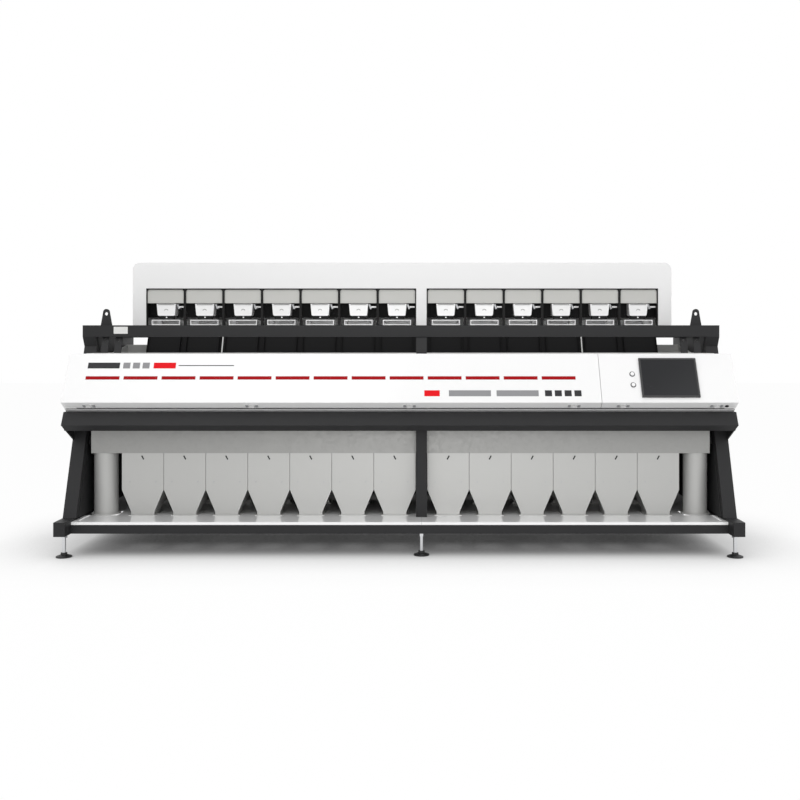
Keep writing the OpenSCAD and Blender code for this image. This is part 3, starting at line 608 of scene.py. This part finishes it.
@dataclass
class FeederBank:
    """Brackets, marks and levers in the bays above the chutes."""

    bracket: tuple[float, float, float] = (120 * MM, 40 * MM, 24 * MM)
    bracket_back: float = 14 * MM
    point_d: float = 12 * MM
    point_t: float = 4 * MM
    point_back: float = 13 * MM
    mark_drop: float = 12 * MM
    line_drop: float = 8 * MM
    mark: tuple[float, float, float] = (32 * MM, 32 * MM, 6 * MM)
    line: tuple[float, float, float] = (128 * MM, 2 * MM, 4 * MM)
    lever: tuple[float, float, float] = (13 * MM, 68 * MM, 40 * MM)
    lever_turn: float = math.radians(-20)
    lever_off: float = 92 * MM
    lever_z: float = 1809 * MM
    strip: tuple[float, float, float] = (40 * MM, 78 * MM, 12 * MM)
    strip_off: float = 122 * MM
    strip_z: float = 1806 * MM
    wall_y: float = 353 * MM

    def build(self) -> None:
        """Make the small pieces of every bay."""
        low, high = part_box("feeder_boxes")
        bays = bay_middles()
        bracket_z = low.z - self.bracket[2] / 2
        hung = [Vector((x, low.y + self.bracket_back + self.bracket[1] / 2, bracket_z)) for x in bays]
        Row("feeder_brackets", STAND, "bay_black", BLACK_TRIM, hung, self.bracket).build()
        tips = [Vector((x, low.y + self.point_back, bracket_z)) for x in bays]
        Row("feeder_bracket_points", STAND, "feeder_white", TRAY_PAINT, tips,
            (self.point_d, self.point_d, self.point_t), Form.DISC, FACE_Y).build()
        marks = [Vector((x, low.y, (low.z + high.z) / 2 - self.mark_drop)) for x in bays]
        Row("feeder_marks", STAND, "bay_grey", MARK_GREY, marks, self.mark, Form.ARC, FACE_Y).build()
        lines = [Vector((x, low.y - self.line[1] / 2, high.z - self.line_drop)) for x in bays]
        Row("feeder_joint_lines", STAND, "bay_grey", JOINT_DARK, lines, self.line).build()
        levers = [Vector((x + self.lever_off, self.wall_y - self.lever[1] / 2, self.lever_z)) for x in bays]
        Row("feeder_levers", STAND, "rod_steel", ZINC, levers, self.lever, Form.BLOCK,
            (0.0, self.lever_turn, 0.0)).build()
        strips = [Vector((x + self.strip_off, self.wall_y - self.strip[1] / 2, self.strip_z)) for x in bays]
        Row("feeder_strips", STAND, "feeder_white", TRAY_PAINT, strips, self.strip).build()


@dataclass
class ChuteJoints:
    """Light strips where two lengths of the plate behind the chutes meet, and the bare plate on the beam."""

    strip: tuple[float, float, float] = (9 * MM, 2 * MM, 190 * MM)
    places: tuple[float, ...] = (-1437 * MM, 1437 * MM)
    lean: float = math.radians(24)
    hook: Vector = field(default_factory=lambda: Vector((0.0, 270 * MM, 1651 * MM)))
    down: float = 175 * MM
    behind: float = 2.2 * MM
    plate: tuple[float, float, float] = (106 * MM, 2 * MM, 53 * MM)
    plate_x: float = -2123 * MM
    plate_z: float = 1610 * MM

    def build(self) -> None:
        """Make the strips and the plate."""
        up = Vector((0.0, math.sin(self.lean), math.cos(self.lean)))
        back = Vector((0.0, up.z, -up.y))
        spots = [Vector((x, 0.0, 0.0)) + self.hook - up * self.down + back * self.behind for x in self.places]
        Row("chute_joint_strips", STAND, "panel_grey", PANEL_PAINT, spots, self.strip, Form.BLOCK,
            (-self.lean, 0.0, 0.0)).build()
        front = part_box("upper_beam")[0].y - self.plate[1] / 2
        Row("beam_plate", STAND, "panel_grey", PANEL_PAINT, [Vector((self.plate_x, front, self.plate_z))],
            self.plate).build()


@dataclass
class CoverFace:
    """The slope of the front covers, as a flat place to set plates on."""

    fold_z: float = 0.0
    fold_y: float = 0.0
    up: Vector = field(default_factory=Vector)
    out: Vector = field(default_factory=Vector)
    return_h: float = 42 * MM
    return_back: float = 68 * MM
    set_back: float = 171 * MM

    def __post_init__(self) -> None:
        """Read the slope from the main cover's box."""
        low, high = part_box("main_cover")
        self.fold_y = low.y
        self.fold_z = low.z + self.return_h
        rise = high.z - self.fold_z
        self.up = Vector((0.0, self.set_back, rise)).normalized()
        self.out = Vector((0.0, -self.up.z, self.up.y))

    def at(self, x: float, height: float, proud: float) -> Vector:
        """Find a point on the slope.

        Args:
            x: place along the machine.
            height: height above the fold, measured up the slope.
            proud: distance out from the sheet.

        Returns:
            The point in the machine's frame.
        """
        return Vector((x, self.fold_y, self.fold_z)) + self.up * height + self.out * proud

    def turn(self) -> tuple[float, float, float]:
        """Work out the rotation that lays a plate's y axis up the slope.

        Returns:
            The angles about x, y and z.
        """
        return (math.atan2(self.up.z, self.up.y), 0.0, 0.0)


@dataclass(frozen=True)
class Film:
    """Films of one size, laid in a line on the main cover."""

    name: str
    finish: Finish
    xs_mm: tuple[float, ...]
    width_mm: float
    height_mm: float = 46


@dataclass
class CoverGraphics:
    """Red dashes and two groups of plain blocks on the main cover."""

    face: CoverFace
    film_t: float = 0.8 * MM
    dash_first_mm: float = -2136
    dash_pitch_mm: float = 273
    dash_count: int = 13
    dash_up: float = 192 * MM
    upper_up: float = 290 * MM
    lower_up: float = 72 * MM
    upper: tuple[Film, ...] = (
        Film("cover_upper_dark", DARK_FILM, xs_mm=(-2140,), width_mm=230),
        Film("cover_upper_grey", GREY_FILM, xs_mm=(-1975, -1905, -1835), width_mm=50),
        Film("cover_upper_red", RED_FILM, xs_mm=(-1700,), width_mm=160),
        Film("cover_upper_line", DARK_FILM, xs_mm=(-1400,), width_mm=400, height_mm=6),
    )
    lower: tuple[Film, ...] = (
        Film("cover_lower_red", RED_FILM, xs_mm=(230,), width_mm=110),
        Film("cover_lower_grey", GREY_FILM, xs_mm=(500, 840), width_mm=300),
        Film("cover_lower_dark", DARK_FILM, xs_mm=(1060, 1130, 1200, 1270), width_mm=50),
    )

    def build(self) -> None:
        """Lay every film on the cover."""
        xs = tuple(self.dash_first_mm + i * self.dash_pitch_mm for i in range(self.dash_count))
        self._lay(Film("cover_dashes", DASH_FILM, xs_mm=xs, width_mm=243, height_mm=26), self.dash_up)
        for films, up in ((self.upper, self.upper_up), (self.lower, self.lower_up)):
            for film in films:
                self._lay(film, up)

    def _lay(self, film: Film, up: float) -> None:
        """Lay the films of one kind.

        Args:
            film: what to lay and where along the cover.
            up: height of its middle up the slope.
        """
        points = [self.face.at(x * MM, up, self.film_t / 2) for x in film.xs_mm]
        Row(film.name, "main_cover", "cover_white", film.finish, points,
            (film.width_mm * MM, film.height_mm * MM, self.film_t), Form.BLOCK, self.face.turn()).build()


@dataclass
class ControlPanel:
    """Rings round the push buttons."""

    face: CoverFace
    ring_d: float = 40 * MM
    ring_h: float = 2 * MM
    hole_r: float = 14.6 * MM
    steps: int = 40

    def build(self) -> None:
        """Make the rings that lie on the control cover."""
        for name in ("on_button", "off_button"):
            spot = middle(name)
            reach = (spot - Vector((0.0, self.face.fold_y, self.face.fold_z))).dot(self.face.up)
            self._ring(name, spot.x, reach)

    def _ring(self, name: str, x: float, height: float) -> None:
        """Make one flat ring round a button.

        Args:
            name: the button's node.
            x: its place along the cover.
            height: its height up the slope.
        """
        outer = self.ring_d / 2
        profile = ((self.hole_r, 0.0), (outer, 0.0), (outer, self.ring_h), (self.hole_r, self.ring_h))
        turned = Euler(self.face.turn()).to_matrix()
        middle_point = self.face.at(x, height, 0.0)
        verts, faces = [], []
        for i in range(self.steps):
            angle = 2 * math.pi * i / self.steps
            arm = Vector((math.cos(angle), math.sin(angle), 0.0))
            verts += [tuple(middle_point + turned @ (arm * r + Vector((0.0, 0.0, z)))) for r, z in profile]
            a, b = 4 * i, 4 * ((i + 1) % self.steps)
            faces += [(b + k, b + (k + 1) % 4, a + (k + 1) % 4, a + k) for k in range(4)]
        mesh = bpy.data.meshes.new(f"{name}_ring")
        mesh.from_pydata(verts, [], faces)
        mesh.materials.append(LOCK.material())
        ring = new_object(f"{name}_ring", mesh)
        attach(ring, "control_cover")
        log.info("ring round %s", name)


@dataclass
class LowerEdge:
    """Bases of the latches, and a black strip of painted shade for the shadowed gap under the covers."""

    face: CoverFace
    base: tuple[float, float, float] = (18 * MM, 30 * MM, 4 * MM)
    base_off: float = 35 * MM
    latch_up: float = 30 * MM
    # A black strip on the sill stands for the shaded gap under the covers' returns: painted shade.
    shade_strip: tuple[float, float] = (6 * MM, 1.5 * MM)
    shade_strip_down: float = 4 * MM
    sill_run: tuple[float, float] = (37 * MM, 27 * MM)
    end_gap: float = 10 * MM

    def build(self) -> None:
        """Make the pieces on the covers' returns and on the sill."""
        along = Vector((0.0, -self.face.return_back, self.face.return_h)).normalized()
        out = Vector((0.0, -along.z, along.y))
        foot = Vector((0.0, self.face.fold_y + self.face.return_back, self.face.fold_z - self.face.return_h))
        spot = foot + along * self.latch_up + out * (self.base[2] / 2)
        turn = (math.atan2(along.z, along.y), 0.0, 0.0)
        for body, latches in (("main_cover", (1, 2, 3, 4)), ("control_cover", (5, 6))):
            xs = [joint_x(f"latch_{i}_turn") + s * self.base_off for i in latches for s in (-1, 1)]
            Row(f"{body}_latch_bases", body, "latch_white", LATCH_BASE,
                [spot + Vector((x, 0.0, 0.0)) for x in xs], self.base, Form.BLOCK, turn).build()
        self._shade_strip()

    def _shade_strip(self) -> None:
        """Lay the black strip of painted shade along the top of the sill, where the gap under the covers'
        returns lies in shadow.
        """
        low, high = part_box("front_sill")
        down = Vector((0.0, self.sill_run[0], -self.sill_run[1])).normalized()
        out = Vector((0.0, down.z, -down.y))
        place = Vector((0.0, low.y, high.z)) + down * self.shade_strip_down + out * (self.shade_strip[1] / 2)
        # Black strip of painted shade for the gap between the returns and the sill.
        Row("sill_shade_strip", STAND, "bay_black", BLACK_TRIM, [place],
            (high.x - low.x - 2 * self.end_gap, self.shade_strip[0], self.shade_strip[1]), Form.BLOCK,
            (math.atan2(-down.z, -down.y), 0.0, 0.0)).build()


@dataclass
class FrameBolts:
    """Hex bolts where the legs, beams and runners are joined."""

    size: tuple[float, float, float] = (26 * MM, 26 * MM, 11 * MM)
    top_in: tuple[float, ...] = (38 * MM, 98.8 * MM)
    top_drop: float = 43 * MM
    gusset_in: tuple[float, ...] = (95 * MM, 150 * MM)
    gusset_z: float = 930 * MM

    def build(self) -> None:
        """Set the bolts on the front gussets and the upper ends of both side frames."""
        for label, side in (("left", -1), ("right", 1)):
            low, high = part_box(f"{label}_side_frame")
            x = (low.x if side < 0 else high.x) + side * self.size[2] / 2
            top = [Vector((x, high.y - back, high.z - self.top_drop)) for back in self.top_in]
            gusset = [Vector((x, low.y + back, self.gusset_z)) for back in self.gusset_in]
            Row(f"bolts_{label}", STAND, "rod_steel", ZINC, top + gusset, self.size, Form.HEX, FACE_X).build()


@dataclass
class Studio:
    """Floor, soft lamps, pale surroundings and the camera."""

    eye: tuple[float, float, float] = (0.15, -7.395, 1.50)
    lens: float = 42.75
    sensor: float = 36.0
    shift: tuple[float, float] = (-0.026, -0.069)
    floor_half: float = 30.0
    ambient: float = 0.5
    floor_glow: float = 0.96
    shade_reach: float = 0.9

    def build(self) -> None:
        """Set the stage."""
        self._floor()
        self._world()
        self._lamp("key_lamp", place=(-3.5, -6.0, 6.0), target=(0.0, 0.0, 1.0), size=6.0, power=160.0)
        self._lamp("front_lamp", place=(0.15, -9.0, 1.7), target=(0.0, 0.0, 1.3), size=4.0, power=130.0)
        self._lamp("fill_lamp", place=(5.0, -5.0, 4.0), target=(0.0, 0.0, 1.0), size=5.0, power=90.0)
        self._lamp("top_lamp", place=(0.0, -0.5, 7.0), target=(0.0, 0.0, 0.0), size=7.0, power=190.0)
        self._camera()

    def _floor(self) -> None:
        """Lay the pale floor."""
        h = self.floor_half
        mesh = bpy.data.meshes.new("floor")
        mesh.from_pydata([(-h, -h, 0.0), (h, -h, 0.0), (h, h, 0.0), (-h, h, 0.0)], [], [(0, 1, 2, 3)])
        mesh.materials.append(self._floor_paint())
        new_object("floor", mesh)

    def _floor_paint(self) -> bpy.types.Material:
        """Make the floor near white to the eye, with a painted shadow from ambient occlusion dimming its glow
        near the machine, and the lamps' real shadow in its lit share.

        Returns:
            The floor's material.
        """
        made = FLOOR.material()
        tree = made.node_tree
        share = add_node(tree, "ShaderNodeMath", {"operation": "MULTIPLY"}, {
            0: seen_by_eye(tree), 1: self.floor_glow})
        # Ambient occlusion sets the glow's strength, so the floor darkens under and near the machine: a
        # painted shadow.
        shade = add_node(tree, "ShaderNodeAmbientOcclusion", {}, {"Distance": self.shade_reach})
        glow = add_node(tree, "ShaderNodeEmission", {}, {
            "Color": WHITE, "Strength": shade.outputs["AO"]})
        paint = tree.nodes["Principled BSDF"].outputs["BSDF"]
        mixed = add_node(tree, "ShaderNodeMixShader", {}, {
            0: share.outputs[0], 1: paint, 2: glow.outputs["Emission"]})
        tree.links.new(mixed.outputs["Shader"], tree.nodes["Material Output"].inputs["Surface"])
        return made

    def _world(self) -> None:
        """Make the surroundings white to the eye and softer as light."""
        world = bpy.data.worlds.new("studio")
        world.use_nodes = True
        bpy.context.scene.world = world
        tree = world.node_tree
        tree.nodes.clear()
        strength = add_node(tree, "ShaderNodeMapRange", {}, {
            "Value": seen_by_eye(tree), "To Min": self.ambient, "To Max": 1.0})
        glow = add_node(tree, "ShaderNodeBackground", {}, {
            "Color": WHITE, "Strength": strength.outputs["Result"]})
        add_node(tree, "ShaderNodeOutputWorld", {}, {"Surface": glow.outputs["Background"]})

    def _lamp(self, name: str, place: tuple[float, float, float], target: tuple[float, float, float],
              size: float, power: float) -> None:
        """Hang one square area lamp.

        Args:
            name: lamp's name.
            place: where it hangs.
            target: point that it faces.
            size: side of the square.
            power: watts.
        """
        lamp = bpy.data.lights.new(name, "AREA")
        lamp.size = size
        lamp.energy = power
        hung = new_object(name, lamp)
        hung.location = place
        hung.rotation_euler = (Vector(target) - Vector(place)).to_track_quat("-Z", "Y").to_euler()

    def _camera(self) -> None:
        """Stand the level camera before the machine."""
        data = bpy.data.cameras.new("camera")
        data.lens = self.lens
        data.sensor_width = self.sensor
        data.shift_x, data.shift_y = self.shift
        camera = new_object("camera", data)
        camera.location = self.eye
        camera.rotation_euler = FACE_Y
        bpy.context.scene.camera = camera


def main() -> None:
    """Build the looks in order."""
    logging.basicConfig(level=logging.INFO, format="%(name)s %(message)s")
    bpy.context.scene.view_settings.view_transform = "Standard"
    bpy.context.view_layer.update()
    Stand().dress()
    face = CoverFace()
    for assembly in (SpoutRow(), DeckInfill(), FeederBank(), ChuteJoints(), CoverGraphics(face),
                     ControlPanel(face), LowerEdge(face), FrameBolts()):
        assembly.build()
    Studio().build()


if __name__ == "__main__":
    main()
